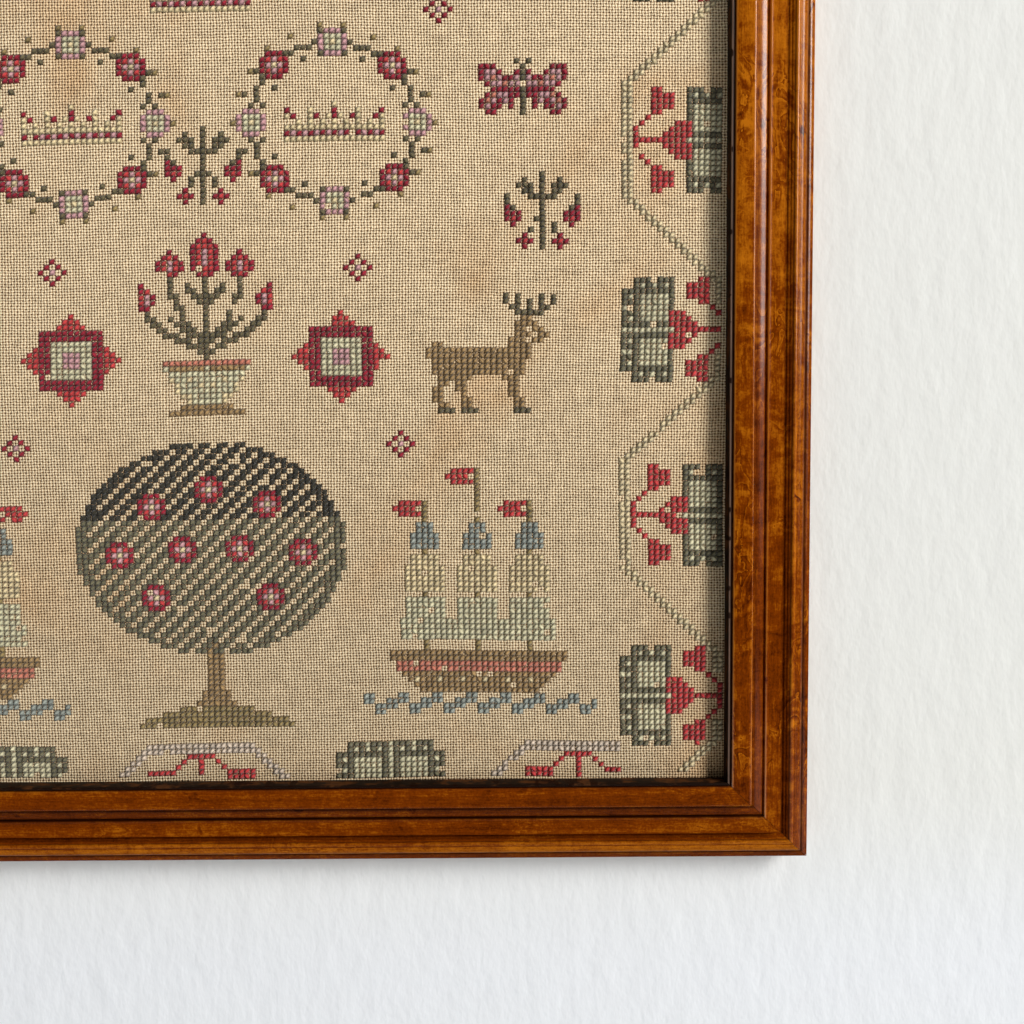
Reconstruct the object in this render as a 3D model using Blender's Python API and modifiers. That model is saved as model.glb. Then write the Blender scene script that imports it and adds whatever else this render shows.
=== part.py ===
"""Framed cross stitch sampler.

A linen sampler sheet lies on a thin board in the rabbet of a mitred maple frame.
Ebonised slips line the sight edge. The frame is a reverse moulding: it stands highest
at the sight edge and falls away towards the wall.

X is to the right, Z is up and the front faces -Y. The origin is the middle of the
top rail's back face, which lies flat against the wall.
"""

import math

import bmesh
import bpy
from mathutils import Matrix, Vector

MM = 0.001

# Driving dimensions, in millimetres
SIGHT_WIDTH = 333.0
SIGHT_HEIGHT = 400.0
RAIL_WIDTH = 30.7
FRAME_DEPTH = 22.0
SLIP_WIDTH = 0.9
SLIP_ROUND = 0.35
SEAT_GAP = 0.3
RABBET_WIDTH = 6.5
CLOTH_RECESS = 5.2
CLOTH_THICKNESS = 1.0
CLOTH_TURN_UNDER = 5.0
BOARD_THICKNESS = 3.0
BOARD_CHAMFER = 0.4
BACK_EDGE_CHAMFER = 0.5

# Front of the maple moulding, from the quirk beside the slip to the outer edge.
# across: how far out from the sight edge the stretch ends, in millimetres
# drop: how far that end lies below the front of the frame, in millimetres
# crown: how far the middle of the stretch bulges above its chord, in millimetres
# steps: how many straight runs the stretch is made of
MOULDING = (
    # name, across, drop, crown, steps
    ("inner arris", 1.6, 0.35, 0.10, 2),
    ("inner round", 4.0, 0.20, 0.09, 4),
    ("broad flat", 7.5, 0.45, 0.03, 2),
    ("flat's outer arris", 7.85, 0.95, 0.12, 2),
    ("first quirk wall", 8.9, 4.75, 0.00, 1),
    ("first quirk floor", 10.1, 5.10, 0.00, 1),
    ("inner bead", 12.85, 5.84, 0.09, 5),
    ("second quirk floor", 13.3, 6.30, 0.00, 1),
    ("second quirk wall", 13.5, 5.75, 0.00, 1),
    ("narrow flat's arris", 13.8, 5.35, 0.10, 2),
    ("narrow bead", 14.4, 5.42, 0.08, 2),
    ("narrow flat", 19.1, 5.80, 0.04, 3),
    ("hollow's wall", 19.5, 9.15, 0.00, 1),
    ("first reed", 20.55, 8.75, 0.12, 3),
    ("second reed", 21.5, 8.35, 0.12, 3),
    ("third reed", 22.3, 8.00, 0.10, 3),
    ("third quirk floor", 22.6, 8.40, 0.00, 1),
    ("small bead", 24.45, 8.75, 0.34, 5),
    ("outer bead", 27.9, 11.80, 0.85, 8),
    ("fourth quirk floor", 28.4, 12.30, 0.00, 1),
    ("outer fillet", 30.2, 12.90, 0.14, 4),
    ("outer round", 30.7, 13.50, 0.15, 3),
)
MOULDING_START = (SLIP_WIDTH + SEAT_GAP, 0.9)

# Shallow swells that lift the stretched linen off its board, in millimetres.
# The waves are counted across the sight opening.
SWELLS = (
    # waves across, waves up, phase, height
    (1.5, 0.5, 0.3, 0.16),
    (0.5, 2.5, 1.1, 0.12),
    (2.5, 3.5, 2.0, 0.07),
)
CLOTH_CELLS_ACROSS = 24
CLOTH_CELLS_UP = 28

COLLECTION_NAME = "framed_cross_stitch_sampler"

# Places worked out from the driving dimensions
CLOTH_FRONT = FRAME_DEPTH - CLOTH_RECESS
LEDGE_DEPTH = CLOTH_FRONT + SEAT_GAP
BOARD_FRONT = CLOTH_FRONT - CLOTH_THICKNESS - SEAT_GAP
BACK_FACE_MIDDLE = (RABBET_WIDTH + RAIL_WIDTH) / 2
SIGHT_MIDDLE_Z = -(BACK_FACE_MIDDLE + SIGHT_HEIGHT / 2)

# side name, turn about Y in degrees, sight edge length, distance from the sight's middle
SIDES = (
    ("top", 0.0, SIGHT_WIDTH, SIGHT_HEIGHT / 2),
    ("right", 90.0, SIGHT_HEIGHT, SIGHT_WIDTH / 2),
    ("bottom", 180.0, SIGHT_WIDTH, SIGHT_HEIGHT / 2),
    ("left", 270.0, SIGHT_HEIGHT, SIGHT_WIDTH / 2),
)


def clear_scene():
    for obj in list(bpy.data.objects):
        bpy.data.objects.remove(obj, do_unlink=True)
    for collection in list(bpy.data.collections):
        bpy.data.collections.remove(collection)


def make_collection():
    collection = bpy.data.collections.new(COLLECTION_NAME)
    bpy.context.scene.collection.children.link(collection)
    return collection


def make_material(name, colour, roughness, metallic=0.0):
    material = bpy.data.materials.new(name)
    material.use_nodes = True
    shader = material.node_tree.nodes["Principled BSDF"]
    shader.inputs["Base Color"].default_value = (*colour, 1.0)
    shader.inputs["Roughness"].default_value = roughness
    shader.inputs["Metallic"].default_value = metallic
    return material


def crowned_run(start, end, crown, steps):
    """Points from start to end, without start, on a parabola that bulges by crown."""
    chord = end - start
    outward = Vector((-chord.y, chord.x)).normalized()
    points = []
    for step in range(1, steps + 1):
        t = step / steps
        points.append(start + chord * t + outward * (4.0 * crown * t * (1.0 - t)))
    return points


def maple_section():
    """Outline of a rail as (across, forward) in millimetres, anticlockwise from the ledge."""
    across, drop = MOULDING_START
    here = Vector((across, FRAME_DEPTH - drop))
    outline = [Vector((across, LEDGE_DEPTH)), here]
    for _, across, drop, crown, steps in MOULDING:
        end = Vector((across, FRAME_DEPTH - drop))
        outline += crowned_run(here, end, crown, steps)
        here = end
    outline.append(Vector((RAIL_WIDTH, BACK_EDGE_CHAMFER)))
    outline.append(Vector((RAIL_WIDTH - BACK_EDGE_CHAMFER, 0.0)))
    outline.append(Vector((RABBET_WIDTH, 0.0)))
    outline.append(Vector((RABBET_WIDTH, LEDGE_DEPTH)))
    return outline


def slip_section():
    """Outline of a slip: an upright strip whose front edges are rounded."""
    front = FRAME_DEPTH
    inner_round = Vector((0.0, front - SLIP_ROUND))
    crest_start = Vector((SLIP_ROUND, front))
    crest_end = Vector((SLIP_WIDTH - SLIP_ROUND, front))
    outer_round = Vector((SLIP_WIDTH, front - SLIP_ROUND))
    outline = [Vector((0.0, LEDGE_DEPTH)), inner_round]
    outline += crowned_run(inner_round, crest_start, SLIP_ROUND * 0.2, 3)
    outline.append(crest_end)
    outline += crowned_run(crest_end, outer_round, SLIP_ROUND * 0.2, 3)
    outline.append(Vector((SLIP_WIDTH, LEDGE_DEPTH)))
    return outline


def mitred_strip(name, section, sight_length):
    """Extrude a section along X with both ends mitred, outward being +Z."""
    bm = bmesh.new()
    mitre_gap = SEAT_GAP / 2 * math.sqrt(2.0)
    start = -sight_length / 2
    corners = [bm.verts.new((start, -p.y, p.x)) for p in section]
    end_face = bm.faces.new(corners)
    swept = bmesh.ops.extrude_face_region(bm, geom=[end_face])
    far_corners = [v for v in swept["geom"] if isinstance(v, bmesh.types.BMVert)]
    bmesh.ops.translate(bm, verts=far_corners, vec=(sight_length, 0.0, 0.0))
    for vert in bm.verts:
        side = math.copysign(1.0, vert.co.x)
        vert.co.x += side * (vert.co.z - mitre_gap)
    bmesh.ops.recalc_face_normals(bm, faces=bm.faces[:])
    bmesh.ops.scale(bm, verts=bm.verts[:], vec=(MM, MM, MM))
    mesh = bpy.data.meshes.new(name)
    bm.to_mesh(mesh)
    bm.free()
    return mesh


def add_object(name, mesh, material, collection, location=(0.0, 0.0, 0.0), turn=0.0):
    obj = bpy.data.objects.new(name, mesh)
    mesh.materials.append(material)
    obj.location = Vector(location) * MM
    obj.rotation_euler = (0.0, math.radians(turn), 0.0)
    collection.objects.link(obj)
    return obj


def add_four_sides(prefix, section, material, collection):
    for side, turn, length, distance in SIDES:
        name = f"{prefix}_{side}"
        mesh = mitred_strip(name, section, length)
        angle = math.radians(turn)
        place = (distance * math.sin(angle), 0.0, SIGHT_MIDDLE_Z + distance * math.cos(angle))
        strip = add_object(name, mesh, material, collection, place, turn)
        strip.data.shade_smooth()
        strip.data.set_sharp_from_angle(angle=math.radians(35.0))


def cloth_lift(across, up):
    """How far the linen lifts off the board, both places counted from the sight's middle."""
    fade = 1.0
    for place, size in ((across, SIGHT_WIDTH), (up, SIGHT_HEIGHT)):
        inside = max(0.0, 1.0 - (2.0 * place / size) ** 2)
        fade *= math.sqrt(inside)
    lift = 0.0
    for waves_across, waves_up, phase, height in SWELLS:
        turn = waves_across * across / SIGHT_WIDTH + waves_up * up / SIGHT_HEIGHT
        lift += height * (1.0 + math.sin(2.0 * math.pi * turn + phase)) / 2
    return lift * fade


def add_cloth(collection, material):
    width = SIGHT_WIDTH + 2 * CLOTH_TURN_UNDER
    height = SIGHT_HEIGHT + 2 * CLOTH_TURN_UNDER
    bm = bmesh.new()
    upright = Matrix.Rotation(math.radians(90.0), 4, "X")
    stretch = Matrix.Diagonal((width, height, 1.0, 1.0))
    bmesh.ops.create_grid(
        bm,
        x_segments=CLOTH_CELLS_ACROSS,
        y_segments=CLOTH_CELLS_UP,
        size=0.5,
        matrix=upright @ stretch,
    )
    for vert in bm.verts:
        vert.co.y = -cloth_lift(vert.co.x, vert.co.z)
    bmesh.ops.scale(bm, verts=bm.verts[:], vec=(MM, MM, MM))
    mesh = bpy.data.meshes.new("sampler_cloth")
    bm.to_mesh(mesh)
    bm.free()
    place = (0.0, -CLOTH_FRONT, SIGHT_MIDDLE_Z)
    cloth = add_object("sampler_cloth", mesh, material, collection, place)
    thicken = cloth.modifiers.new("thickness", "SOLIDIFY")
    thicken.thickness = CLOTH_THICKNESS * MM
    thicken.offset = -1.0
    return cloth


def add_board(collection, material):
    overhang = RABBET_WIDTH - SEAT_GAP
    size = Vector((SIGHT_WIDTH + 2 * overhang, BOARD_THICKNESS, SIGHT_HEIGHT + 2 * overhang))
    bm = bmesh.new()
    bmesh.ops.create_cube(bm, size=1.0)
    bmesh.ops.scale(bm, verts=bm.verts[:], vec=size * MM)
    bmesh.ops.bevel(
        bm,
        geom=bm.edges[:],
        offset=BOARD_CHAMFER * MM,
        segments=1,
        profile=0.5,
        affect="EDGES",
        material=-1,
    )
    mesh = bpy.data.meshes.new("backboard")
    bm.to_mesh(mesh)
    bm.free()
    place = (0.0, -(BOARD_FRONT - BOARD_THICKNESS / 2), SIGHT_MIDDLE_Z)
    return add_object("backboard", mesh, material, collection, place)


def main():
    clear_scene()
    collection = make_collection()
    maple = make_material("maple", (0.25, 0.062, 0.004), 0.28)
    ebonised = make_material("ebonised", (0.018, 0.013, 0.011), 0.35)
    linen = make_material("linen", (0.60, 0.45, 0.28), 0.9)
    board = make_material("board", (0.40, 0.29, 0.17), 0.8)
    add_four_sides("rail", maple_section(), maple, collection)
    add_four_sides("slip", slip_section(), ebonised, collection)
    add_cloth(collection, linen)
    add_board(collection, board)


main()
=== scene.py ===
"""Looks of the framed cross stitch sampler.

Polished bird's-eye maple rails and worn black slips stand round a sheet of open linen,
on which every cross stitch is two bowed strands of wool. The border is a common repeat
of blocks and sprigs along a meander. The field holds ordinary sampler motifs.
"""

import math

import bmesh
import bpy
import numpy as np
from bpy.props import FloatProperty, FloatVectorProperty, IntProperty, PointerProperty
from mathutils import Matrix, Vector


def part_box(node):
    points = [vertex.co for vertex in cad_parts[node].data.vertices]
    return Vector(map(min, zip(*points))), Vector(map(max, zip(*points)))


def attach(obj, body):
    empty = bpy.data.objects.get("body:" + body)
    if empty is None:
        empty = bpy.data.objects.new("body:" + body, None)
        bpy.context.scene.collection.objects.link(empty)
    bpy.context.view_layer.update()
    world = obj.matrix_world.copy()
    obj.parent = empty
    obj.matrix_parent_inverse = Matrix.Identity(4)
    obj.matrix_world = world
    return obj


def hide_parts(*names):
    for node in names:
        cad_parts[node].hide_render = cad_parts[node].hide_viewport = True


bl_info = {
    "name": "Framed Cross Stitch Sampler",
    "version": (1, 0, 0),
    "blender": (4, 5, 0),
    "location": "View3D > Sidebar > Sampler",
    "description": "Builds the finish of a framed sampler: maple moulding, linen and wool stitches",
    "category": "Add Mesh",
}

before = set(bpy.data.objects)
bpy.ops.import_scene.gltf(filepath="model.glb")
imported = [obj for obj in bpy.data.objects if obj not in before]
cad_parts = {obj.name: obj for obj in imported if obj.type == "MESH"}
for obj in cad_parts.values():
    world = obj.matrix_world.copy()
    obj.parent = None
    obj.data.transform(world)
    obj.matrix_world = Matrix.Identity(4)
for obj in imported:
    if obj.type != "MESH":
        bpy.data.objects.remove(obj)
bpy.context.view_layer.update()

MM = 0.001
BODY = "root"

# Places read from the frame, in metres
SIGHT_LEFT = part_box("slip_left")[1].x
SIGHT_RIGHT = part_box("slip_right")[0].x
SIGHT_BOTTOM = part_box("slip_bottom")[1].z
SIGHT_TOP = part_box("slip_top")[0].z
SIGHT_WIDTH = SIGHT_RIGHT - SIGHT_LEFT
SIGHT_HEIGHT = SIGHT_TOP - SIGHT_BOTTOM
SIGHT_MIDDLE_Z = (SIGHT_TOP + SIGHT_BOTTOM) / 2
FRAME_DEPTH = -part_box("slip_left")[0].y
RAIL_WIDTH = SIGHT_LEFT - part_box("rail_left")[0].x
SLIP_WIDTH = SIGHT_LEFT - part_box("slip_left")[0].x
LEDGE_DEPTH = -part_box("slip_left")[1].y
CLOTH_BACK = -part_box("sampler_cloth")[1].y
CLOTH_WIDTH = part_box("sampler_cloth")[1].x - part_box("sampler_cloth")[0].x
CLOTH_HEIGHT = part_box("sampler_cloth")[1].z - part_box("sampler_cloth")[0].z

# Measures shared with the solids, in millimetres
RABBET_WIDTH = 6.5
BACK_EDGE_CHAMFER = 0.5
SLIP_ROUND = 0.35
MOULDING_START = (1.2, 0.9)
MOULDING = (
    # name, across, drop, crown, steps
    ("inner arris", 1.6, 0.35, 0.10, 4),
    ("inner round", 4.0, 0.20, 0.09, 8),
    ("broad flat", 7.5, 0.45, 0.03, 6),
    ("flat's outer arris", 7.85, 0.95, 0.12, 6),
    ("first quirk wall", 8.9, 4.75, 0.00, 2),
    ("first quirk floor", 10.1, 5.10, 0.00, 2),
    ("inner bead", 12.85, 5.84, 0.09, 12),
    ("second quirk floor", 13.3, 6.30, 0.00, 2),
    ("second quirk wall", 13.5, 5.75, 0.00, 1),
    ("narrow flat's arris", 13.8, 5.35, 0.10, 3),
    ("narrow bead", 14.4, 5.42, 0.08, 5),
    ("narrow flat", 19.1, 5.80, 0.04, 8),
    ("hollow's wall", 19.5, 9.15, 0.00, 2),
    ("first reed", 20.55, 8.75, 0.12, 6),
    ("second reed", 21.5, 8.35, 0.12, 6),
    ("third reed", 22.3, 8.00, 0.10, 6),
    ("third quirk floor", 22.6, 8.40, 0.00, 2),
    ("small bead", 24.45, 8.75, 0.34, 10),
    ("outer bead", 27.9, 11.80, 0.85, 16),
    ("fourth quirk floor", 28.4, 12.30, 0.00, 2),
    ("outer fillet", 30.2, 12.90, 0.14, 8),
    ("outer round", 30.7, 13.50, 0.15, 4),
)


# How dark the old polish has gathered at the ends of these stretches, 0 to 1, together with painted shade in
# the quirks and the hollow; the upright and level rails take different values because their light falls
# differently
GATHERED_POLISH_AND_SHADE = {
    # name: on the upright rails, on the level rails, reach in millimetres
    "first quirk wall": (0.40, 0.90, 0.55),
    "first quirk floor": (0.30, 0.75, 0.50),
    "second quirk floor": (0.00, 0.95, 0.50),
    "hollow's wall": (0.75, 0.25, 0.38),
    "first reed": (0.30, 0.25, 0.30),
    "second reed": (0.25, 0.20, 0.30),
    "third quirk floor": (0.80, 0.35, 0.50),
    "outer bead": (0.75, 0.40, 1.10),
    "fourth quirk floor": (0.80, 0.80, 0.45),
}
# Old polish and painted shade in the quirk beside the slip
GATHERED_POLISH_AND_SHADE_BESIDE_SLIP = (0.70, 0.70, 0.38)

# How hands have rubbed these stretches and every arris, and the painted highlight laid on arrises and beads
# as paler wood, strongest on the upright rails
RUBBED_AND_HIGHLIGHTED = {
    # name: gloss, paler wood with painted highlight on the upright rails, paler wood with painted highlight
    # on the level rails
    "inner bead": (0.15, 0.03, 0.00),
    "narrow flat": (0.00, 0.035, 0.035),
    "small bead": (0.14, 0.14, 0.16),
    "outer bead": (0.09, 0.07, 0.26),
    "outer fillet": (0.16, 0.02, 0.04),
}
RUBBED_AND_HIGHLIGHTED_ARRIS = (1.0, 0.42, 0.10)
RUBBED_EDGE = 0.3
ARRIS_REACH = 0.26
MITRE_GAP = 0.12
RAIL_SLICES = 24
SLIP_SLICES = 24

# side name, turn about Y in degrees, sight edge length, distance from the sight's middle
SIDES = (
    ("top", 0.0, SIGHT_WIDTH, SIGHT_HEIGHT / 2),
    ("right", 90.0, SIGHT_HEIGHT, SIGHT_WIDTH / 2),
    ("bottom", 180.0, SIGHT_WIDTH, SIGHT_HEIGHT / 2),
    ("left", 270.0, SIGHT_HEIGHT, SIGHT_WIDTH / 2),
)

# Swells of the stretched linen, the first three shared with its solid
SWELLS = (
    # waves across, waves up, phase, height in millimetres
    (1.5, 0.5, 0.3, 0.16),
    (0.5, 2.5, 1.1, 0.12),
    (2.5, 3.5, 2.0, 0.07),
    (7.0, 3.0, 0.7, 0.06),
    (4.0, 9.0, 2.6, 0.05),
)

# How the threads wander from straight, in millimetres
DRIFT_ACROSS = (
    # height, turns per metre across, turns per metre up, phase
    (0.55, 1.1, 4.3, 0.4),
    (0.22, 6.0, 11.0, 1.9),
)
DRIFT_UP = (
    (0.60, 3.7, 0.9, 2.2),
    (0.20, 12.0, 7.0, 0.8),
)

# The grid of cross stitches
CROSS_WIDTH = 1.872
CROSS_HEIGHT = 1.745
COLUMN_SHIFT = 0.4
ROW_START = 0.15
LAST_ROW = 228
THREADS_PER_CROSS = 2
STITCH_MARGIN = 0.15

# The window, in metres and degrees from straight in front
WINDOW_DISTANCE = 5.0
WINDOW_TURN = 53.5
WINDOW_WIDTH = 1.5
WINDOW_PANES = (
    # name, lowest, highest above the photographed part, share of the full brightness
    ("low", -0.50, 0.75, 0.05),
    ("middle", 0.75, 2.00, 0.55),
    ("top", 2.00, 4.25, 1.0),
)


def linear(red, green, blue):
    """A screen colour, 0 to 255, as the linear colour that shaders take."""
    values = []
    for level in (red, green, blue):
        share = level / 255
        values.append(share / 12.92 if share <= 0.04045 else ((share + 0.055) / 1.055) ** 2.4)
    return tuple(values)


def colour_property(name, description, screen_colour):
    return FloatVectorProperty(
        name=name,
        description=description,
        default=linear(*screen_colour),
        subtype="COLOR",
        size=3,
        min=0.0,
        max=1.0,
    )


class SamplerWoodSettings(bpy.types.PropertyGroup):
    """Finish of the rails, slips and board."""

    amber: colour_property("Amber", "Middle tone of the shellacked maple", (117, 50, 2))
    deep: colour_property("Deep tone", "Darkest mottle of the maple", (66, 22, 1))
    honey: colour_property("Honey", "Lightest streaks of the maple", (178, 101, 14))
    # The quirk colour is old polish and also painted shade, laid into the quirks and the hollow of the rails
    quirk: colour_property("Quirk", "Old polish gathered in the quirks", (26, 8, 2))
    bare: colour_property("Bare wood", "Unpolished back of the rails", (168, 128, 84))
    ebony: colour_property("Ebonised", "Black stain of the slips", (26, 15, 9))
    worn: colour_property("Worn stain", "Wood where the black has rubbed off", (76, 45, 22))
    # The slip crest colour is a painted highlight on the upright slips
    crest: colour_property("Slip crest", "Bright rubbed edge of the upright slips", (150, 122, 106))
    board: colour_property("Board", "Thin backing board", (166, 128, 84))
    polish: FloatProperty(
        name="Polish roughness",
        description="Roughness of the shellac on the flats",
        default=0.24,
        min=0.0,
        max=1.0,
        subtype="FACTOR",
    )


class SamplerLinenSettings(bpy.types.PropertyGroup):
    """Size and colours of the linen."""

    thickness: FloatProperty(
        name="Thickness",
        description="Thickness of the sheet",
        default=1.0 * MM,
        min=0.0002,
        max=0.003,
        unit="LENGTH",
    )
    cells_across: IntProperty(
        name="Cells across", description="Grid cells over the sheet's width", default=100, min=8, max=300
    )
    cells_up: IntProperty(
        name="Cells up", description="Grid cells over the sheet's height", default=120, min=8, max=300
    )
    # The knuckle colour is thread with a painted highlight; shade and hole are painted shade
    knuckle_highlight: colour_property("Knuckle", "Top of a thread where it crosses over", (240, 224, 190))
    thread: colour_property("Thread", "Side of a thread", (193, 161, 121))
    shade: colour_property("Shade", "Where a thread dips under", (116, 84, 50))
    hole_shade: colour_property("Hole", "The gap between four threads", (60, 37, 18))
    stain: colour_property("Stain", "Warm brown of age and damp", (230, 190, 140))


class SamplerWoolSettings(bpy.types.PropertyGroup):
    """Sizes and colours of the cross stitches."""

    strand_width: FloatProperty(
        name="Strand width",
        description="Width of one strand of wool",
        default=1.42 * MM,
        min=0.0002,
        max=0.003,
        unit="LENGTH",
    )
    strand_height: FloatProperty(
        name="Strand height",
        description="How far a strand stands off the linen",
        default=0.42 * MM,
        min=0.0001,
        max=0.002,
        unit="LENGTH",
    )
    crimson: colour_property("Crimson", "Roses and pennants", (158, 34, 52))
    coral: colour_property("Coral", "Sprigs of the border", (206, 66, 66))
    pink: colour_property("Pink", "Petals", (214, 162, 164))
    salmon: colour_property("Salmon", "Pot rims and stripes", (214, 132, 108))
    olive: colour_property("Olive gold", "Faded stems", (160, 138, 90))
    leaf: colour_property("Leaf", "Grey olive leaves", (108, 98, 70))
    slate: colour_property("Slate green", "Blocks of the border", (118, 112, 86))
    dark: colour_property("Dark green", "Deepest leaves", (58, 54, 42))
    pale: colour_property("Pale green", "Windows of the blocks", (222, 214, 176))
    ash: colour_property("Ash blue", "Pale sea and sails", (160, 166, 156))
    cream: colour_property("Cream", "Sails and pots", (238, 216, 168))
    sand: colour_property("Sand", "Hulls and animals", (172, 140, 94))
    meander: colour_property("Meander", "Pale line of the border", (232, 212, 168))
    violet: colour_property("Grey violet", "Faded part of the meander", (224, 204, 182))


class SamplerStageSettings(bpy.types.PropertyGroup):
    """Light, camera and backdrop."""

    window_power: FloatProperty(
        name="Window power", description="Power of a square metre of the top pane", default=101.0, min=0.0
    )
    sky: colour_property("Sky", "Soft light from all round", (244, 243, 240))
    sky_strength: FloatProperty(
        name="Sky strength", description="Strength of the soft light", default=0.085, min=0.0
    )
    # The backdrop colour holds painted warm bounce light beside the frame; the low colour is the cooler part
    # below it
    backdrop: colour_property("Backdrop", "Pale backdrop beside the frame", (233, 234, 230))
    backdrop_low: colour_property("Low backdrop", "Cooler backdrop and floor below it", (237, 240, 244))
    lens: FloatProperty(
        name="Lens", description="Focal length over a 36 mm sensor, in millimetres", default=27.035, min=1.0
    )


class Socket:
    """A shader socket that takes part in Python expressions."""

    def __init__(self, shader, socket):
        self.shader = shader
        self.socket = socket

    def maths(self, operation, *others):
        return self.shader.maths(operation, self, *others)

    def __add__(self, other):
        return self.maths("ADD", other)

    def __radd__(self, other):
        return self.shader.maths("ADD", other, self)

    def __sub__(self, other):
        return self.maths("SUBTRACT", other)

    def __rsub__(self, other):
        return self.shader.maths("SUBTRACT", other, self)

    def __mul__(self, other):
        return self.maths("MULTIPLY", other)

    def __rmul__(self, other):
        return self.shader.maths("MULTIPLY", other, self)

    def __truediv__(self, other):
        return self.maths("DIVIDE", other)

    def __rtruediv__(self, other):
        return self.shader.maths("DIVIDE", other, self)

    def __pow__(self, other):
        return self.maths("POWER", other)


class Shader:
    """A material whose nodes are added by name."""

    def __init__(self, name):
        self.material = bpy.data.materials.new(name)
        self.material.use_nodes = True
        self.nodes = self.material.node_tree.nodes
        self.links = self.material.node_tree.links
        self.surface = self.nodes["Principled BSDF"]

    def connect(self, value, target):
        if isinstance(value, Socket):
            self.links.new(value.socket, target)
        elif hasattr(target.default_value, "__len__") and len(target.default_value) == 4 and len(value) == 3:
            target.default_value = (*value, 1.0)
        else:
            target.default_value = value

    def node(self, kind, settings=None, values=None, output=0):
        """Add a node, set it up, feed its sockets and give back one output."""
        node = self.nodes.new(kind)
        for key, setting in (settings or {}).items():
            if key == "stops":
                self.set_stops(node.color_ramp, setting)
            else:
                setattr(node, key, setting)
        for key, value in (values or {}).items():
            self.connect(value, node.inputs[key])
        return Socket(self, node.outputs[output])

    def set_stops(self, ramp, stops):
        while len(ramp.elements) < len(stops):
            ramp.elements.new(1.0)
        for element, (position, colour) in zip(ramp.elements, stops):
            element.position = position
            element.color = (*colour, 1.0)

    def maths(self, operation, *values):
        return self.node("ShaderNodeMath", {"operation": operation}, dict(enumerate(values)))

    def sine(self, value):
        return self.maths("SINE", value)

    def place(self):
        """The piece's own coordinates, as three values in metres."""
        vector = self.node("ShaderNodeTexCoord", output="Object")
        return self.split(vector)

    def split(self, vector):
        return [self.node("ShaderNodeSeparateXYZ", values={0: vector}, output=axis) for axis in "XYZ"]

    def vector(self, x, y, z):
        return self.node("ShaderNodeCombineXYZ", values={0: x, 1: y, 2: z})

    def noise(self, vector, scale=1.0, detail=2.0, roughness=0.5, distortion=0.0):
        values = {
            "Vector": vector,
            "Scale": scale,
            "Detail": detail,
            "Roughness": roughness,
            "Distortion": distortion,
        }
        return self.node("ShaderNodeTexNoise", values=values, output="Fac")

    def smooth(self, value, start, end):
        """0 below start, 1 above end, and a soft step between them. start may be the larger."""
        values = {"Value": value, "From Min": start, "From Max": end}
        return self.node("ShaderNodeMapRange", {"interpolation_type": "SMOOTHSTEP"}, values)

    def ramp(self, value, stops):
        return self.node("ShaderNodeValToRGB", {"stops": stops}, {"Fac": value})

    def mix(self, share, first, second, blend="MIX"):
        settings = {"data_type": "RGBA", "blend_type": blend}
        return self.node("ShaderNodeMix", settings, {0: share, 6: first, 7: second}, output=2)

    def shaded(self, colour, level):
        """A colour made lighter or darker by a varying level."""
        grey = self.vector(level, level, level)
        return self.mix(1.0, colour, grey, "MULTIPLY")

    def attribute(self, name):
        return self.node("ShaderNodeAttribute", {"attribute_name": name}, output="Fac")

    def bump(self, height):
        """Relief from a height in metres."""
        return self.node("ShaderNodeBump", values={"Height": height, "Distance": 1.0, "Strength": 1.0})

    def finish(self, **values):
        """Feed the surface. Names are the sockets' names with _ for a space."""
        for key, value in values.items():
            self.connect(value, self.surface.inputs[key.replace("_", " ")])
        return self.material


def drift(across, up, sine):
    """How far the weave wanders at a place in metres, as (across, up) in millimetres."""
    found = []
    for waves in (DRIFT_ACROSS, DRIFT_UP):
        total = 0.0
        for height, turns_across, turns_up, phase in waves:
            angle = across * (math.tau * turns_across) + up * (math.tau * turns_up) + phase
            total = sine(angle) * height + total
        found.append(total)
    return found


def cloth_lift(across, up):
    """How far the linen lifts off its board in metres, both places from the sight's middle."""
    fade = 1.0
    for place, size in ((across, SIGHT_WIDTH), (up, SIGHT_HEIGHT)):
        fade = fade * np.sqrt(np.maximum(0.0, 1.0 - (2.0 * place / size) ** 2))
    lift = 0.0
    for waves_across, waves_up, phase, height in SWELLS:
        turn = waves_across * across / SIGHT_WIDTH + waves_up * up / SIGHT_HEIGHT
        lift = lift + height * MM * (1.0 + np.sin(math.tau * turn + phase)) / 2
    return lift * fade


# Materials


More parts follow.
